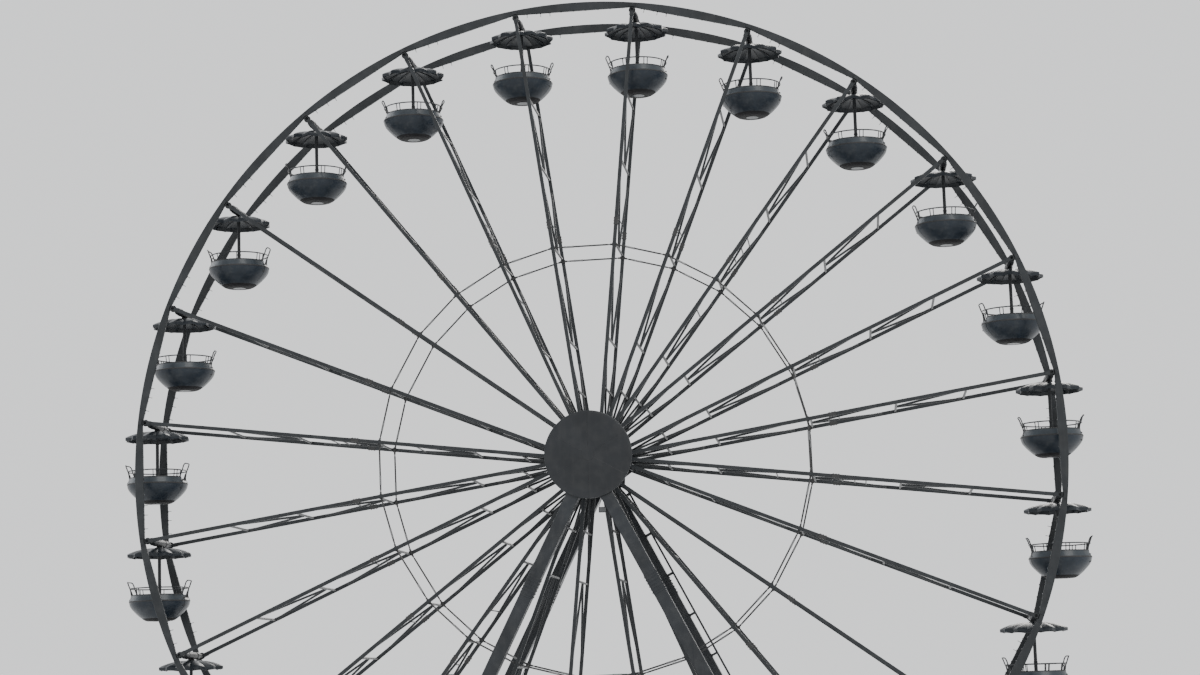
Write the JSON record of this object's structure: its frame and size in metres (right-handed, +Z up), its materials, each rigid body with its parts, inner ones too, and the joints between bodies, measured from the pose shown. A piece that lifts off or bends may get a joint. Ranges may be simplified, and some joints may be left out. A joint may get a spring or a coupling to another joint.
{
  "type": "ferris wheel",
  "caption": "Travelling ferris wheel: an open steel wheel turns between two A-frame towers and carries open round cabins that stay level above a boarding deck.",
  "frame": {"origin": "on the ground under the middle of the hub", "axes": "+Z up, Y along the wheel's axle with the front towards -Y, +X to the right seen from the front"},
  "size_m": [32.4954, 13.1, 34.4924],
  "materials": {
    "wheel_steel": "dark satin paint on square steel tube",
    "tower_steel": "dark satin paint on welded box legs",
    "cover_paint": "smooth dark paint on a dished sheet cover",
    "rod_steel": "weathered galvanised steel",
    "base_steel": "dark paint, worn along the edges",
    "deck_plate": "tread plate",
    "cabin_shell": "gloss gel coat on moulded glass fibre"
  },
  "bodies": {
    "stand": {"tower_front": "tower_steel", "tower_rear": "tower_steel", "hub_cover_front": "cover_paint", "hub_cover_rear": "cover_paint", "base_frame": "base_steel", "boarding_platform": "deck_plate", "leg_ladder": "rod_steel"},
    "wheel": {"hub_drum": "wheel_steel", "spoke_01": "wheel_steel", "spoke_02": "wheel_steel", "spoke_03": "wheel_steel", "spoke_04": "wheel_steel", "spoke_05": "wheel_steel", "spoke_06": "wheel_steel", "spoke_07": "wheel_steel", "spoke_08": "wheel_steel", "spoke_09": "wheel_steel", "spoke_10": "wheel_steel", "spoke_11": "wheel_steel", "spoke_12": "wheel_steel", "spoke_13": "wheel_steel", "spoke_14": "wheel_steel", "spoke_15": "wheel_steel", "spoke_16": "wheel_steel", "spoke_17": "wheel_steel", "spoke_18": "wheel_steel", "spoke_19": "wheel_steel", "spoke_20": "wheel_steel", "spoke_21": "wheel_steel", "spoke_22": "wheel_steel", "spoke_23": "wheel_steel", "spoke_24": "wheel_steel", "rim_front": "wheel_steel", "rim_rear": "wheel_steel", "tie_rods_front": "rod_steel", "tie_rods_rear": "rod_steel"},
    "gondola_01": {"gondola_01": "cabin_shell"},
    "gondola_02": {"gondola_02": "cabin_shell"},
    "gondola_03": {"gondola_03": "cabin_shell"},
    "gondola_04": {"gondola_04": "cabin_shell"},
    "gondola_05": {"gondola_05": "cabin_shell"},
    "gondola_06": {"gondola_06": "cabin_shell"},
    "gondola_07": {"gondola_07": "cabin_shell"},
    "gondola_08": {"gondola_08": "cabin_shell"},
    "gondola_09": {"gondola_09": "cabin_shell"},
    "gondola_10": {"gondola_10": "cabin_shell"},
    "gondola_11": {"gondola_11": "cabin_shell"},
    "gondola_12": {"gondola_12": "cabin_shell"},
    "gondola_13": {"gondola_13": "cabin_shell"},
    "gondola_14": {"gondola_14": "cabin_shell"},
    "gondola_15": {"gondola_15": "cabin_shell"},
    "gondola_16": {"gondola_16": "cabin_shell"},
    "gondola_17": {"gondola_17": "cabin_shell"},
    "gondola_18": {"gondola_18": "cabin_shell"},
    "gondola_19": {"gondola_19": "cabin_shell"},
    "gondola_20": {"gondola_20": "cabin_shell"},
    "gondola_21": {"gondola_21": "cabin_shell"},
    "gondola_22": {"gondola_22": "cabin_shell"},
    "gondola_23": {"gondola_23": "cabin_shell"},
    "gondola_24": {"gondola_24": "cabin_shell"}
  },
  "joints": [
    {"name": "wheel_turn", "type": "hinge", "parent": "stand", "child": "wheel", "pos_m": [0, 0, 19], "axis": [0, 1, 0], "continuous": true},
    {"name": "gondola_01_swing", "type": "hinge", "parent": "wheel", "child": "gondola_01", "pos_m": [1.80566, 0, 34.14272], "axis": [0, 1, 0], "continuous": true},
    {"name": "gondola_02_swing", "type": "hinge", "parent": "wheel", "child": "gondola_02", "pos_m": [5.66336, 0, 33.15941], "axis": [0, 1, 0], "continuous": true},
    {"name": "gondola_03_swing", "type": "hinge", "parent": "wheel", "child": "gondola_03", "pos_m": [9.13511, 0, 31.21115], "axis": [0, 1, 0], "continuous": true},
    {"name": "gondola_04_swing", "type": "hinge", "parent": "wheel", "child": "gondola_04", "pos_m": [11.98432, 0, 28.43073], "axis": [0, 1, 0], "continuous": true},
    {"name": "gondola_05_swing", "type": "hinge", "parent": "wheel", "child": "gondola_05", "pos_m": [14.01681, 0, 25.00761], "axis": [0, 1, 0], "continuous": true},
    {"name": "gondola_06_swing", "type": "hinge", "parent": "wheel", "child": "gondola_06", "pos_m": [15.09409, 0, 21.17509], "axis": [0, 1, 0], "continuous": true},
    {"name": "gondola_07_swing", "type": "hinge", "parent": "wheel", "child": "gondola_07", "pos_m": [15.14272, 0, 17.19434], "axis": [0, 1, 0], "continuous": true},
    {"name": "gondola_08_swing", "type": "hinge", "parent": "wheel", "child": "gondola_08", "pos_m": [14.15941, 0, 13.33664], "axis": [0, 1, 0], "continuous": true},
    {"name": "gondola_09_swing", "type": "hinge", "parent": "wheel", "child": "gondola_09", "pos_m": [12.21115, 0, 9.86489], "axis": [0, 1, 0], "continuous": true},
    {"name": "gondola_10_swing", "type": "hinge", "parent": "wheel", "child": "gondola_10", "pos_m": [9.43073, 0, 7.01568], "axis": [0, 1, 0], "continuous": true},
    {"name": "gondola_11_swing", "type": "hinge", "parent": "wheel", "child": "gondola_11", "pos_m": [6.00761, 0, 4.98319], "axis": [0, 1, 0], "continuous": true},
    {"name": "gondola_12_swing", "type": "hinge", "parent": "wheel", "child": "gondola_12", "pos_m": [2.17509, 0, 3.90591], "axis": [0, 1, 0], "continuous": true},
    {"name": "gondola_13_swing", "type": "hinge", "parent": "wheel", "child": "gondola_13", "pos_m": [-1.80566, 0, 3.85728], "axis": [0, 1, 0], "continuous": true},
    {"name": "gondola_14_swing", "type": "hinge", "parent": "wheel", "child": "gondola_14", "pos_m": [-5.66336, 0, 4.84059], "axis": [0, 1, 0], "continuous": true},
    {"name": "gondola_15_swing", "type": "hinge", "parent": "wheel", "child": "gondola_15", "pos_m": [-9.13511, 0, 6.78885], "axis": [0, 1, 0], "continuous": true},
    {"name": "gondola_16_swing", "type": "hinge", "parent": "wheel", "child": "gondola_16", "pos_m": [-11.98432, 0, 9.56927], "axis": [0, 1, 0], "continuous": true},
    {"name": "gondola_17_swing", "type": "hinge", "parent": "wheel", "child": "gondola_17", "pos_m": [-14.01681, 0, 12.99239], "axis": [0, 1, 0], "continuous": true},
    {"name": "gondola_18_swing", "type": "hinge", "parent": "wheel", "child": "gondola_18", "pos_m": [-15.09409, 0, 16.82491], "axis": [0, 1, 0], "continuous": true},
    {"name": "gondola_19_swing", "type": "hinge", "parent": "wheel", "child": "gondola_19", "pos_m": [-15.14272, 0, 20.80566], "axis": [0, 1, 0], "continuous": true},
    {"name": "gondola_20_swing", "type": "hinge", "parent": "wheel", "child": "gondola_20", "pos_m": [-14.15941, 0, 24.66336], "axis": [0, 1, 0], "continuous": true},
    {"name": "gondola_21_swing", "type": "hinge", "parent": "wheel", "child": "gondola_21", "pos_m": [-12.21115, 0, 28.13511], "axis": [0, 1, 0], "continuous": true},
    {"name": "gondola_22_swing", "type": "hinge", "parent": "wheel", "child": "gondola_22", "pos_m": [-9.43073, 0, 30.98432], "axis": [0, 1, 0], "continuous": true},
    {"name": "gondola_23_swing", "type": "hinge", "parent": "wheel", "child": "gondola_23", "pos_m": [-6.00761, 0, 33.01681], "axis": [0, 1, 0], "continuous": true},
    {"name": "gondola_24_swing", "type": "hinge", "parent": "wheel", "child": "gondola_24", "pos_m": [-2.17509, 0, 34.09409], "axis": [0, 1, 0], "continuous": true}
  ],
  "couplings": [
    {"joint": "gondola_01_swing", "follows": "wheel_turn", "ratio": -1},
    {"joint": "gondola_02_swing", "follows": "wheel_turn", "ratio": -1},
    {"joint": "gondola_03_swing", "follows": "wheel_turn", "ratio": -1},
    {"joint": "gondola_04_swing", "follows": "wheel_turn", "ratio": -1},
    {"joint": "gondola_05_swing", "follows": "wheel_turn", "ratio": -1},
    {"joint": "gondola_06_swing", "follows": "wheel_turn", "ratio": -1},
    {"joint": "gondola_07_swing", "follows": "wheel_turn", "ratio": -1},
    {"joint": "gondola_08_swing", "follows": "wheel_turn", "ratio": -1},
    {"joint": "gondola_09_swing", "follows": "wheel_turn", "ratio": -1},
    {"joint": "gondola_10_swing", "follows": "wheel_turn", "ratio": -1},
    {"joint": "gondola_11_swing", "follows": "wheel_turn", "ratio": -1},
    {"joint": "gondola_12_swing", "follows": "wheel_turn", "ratio": -1},
    {"joint": "gondola_13_swing", "follows": "wheel_turn", "ratio": -1},
    {"joint": "gondola_14_swing", "follows": "wheel_turn", "ratio": -1},
    {"joint": "gondola_15_swing", "follows": "wheel_turn", "ratio": -1},
    {"joint": "gondola_16_swing", "follows": "wheel_turn", "ratio": -1},
    {"joint": "gondola_17_swing", "follows": "wheel_turn", "ratio": -1},
    {"joint": "gondola_18_swing", "follows": "wheel_turn", "ratio": -1},
    {"joint": "gondola_19_swing", "follows": "wheel_turn", "ratio": -1},
    {"joint": "gondola_20_swing", "follows": "wheel_turn", "ratio": -1},
    {"joint": "gondola_21_swing", "follows": "wheel_turn", "ratio": -1},
    {"joint": "gondola_22_swing", "follows": "wheel_turn", "ratio": -1},
    {"joint": "gondola_23_swing", "follows": "wheel_turn", "ratio": -1},
    {"joint": "gondola_24_swing", "follows": "wheel_turn", "ratio": -1}
  ]
}
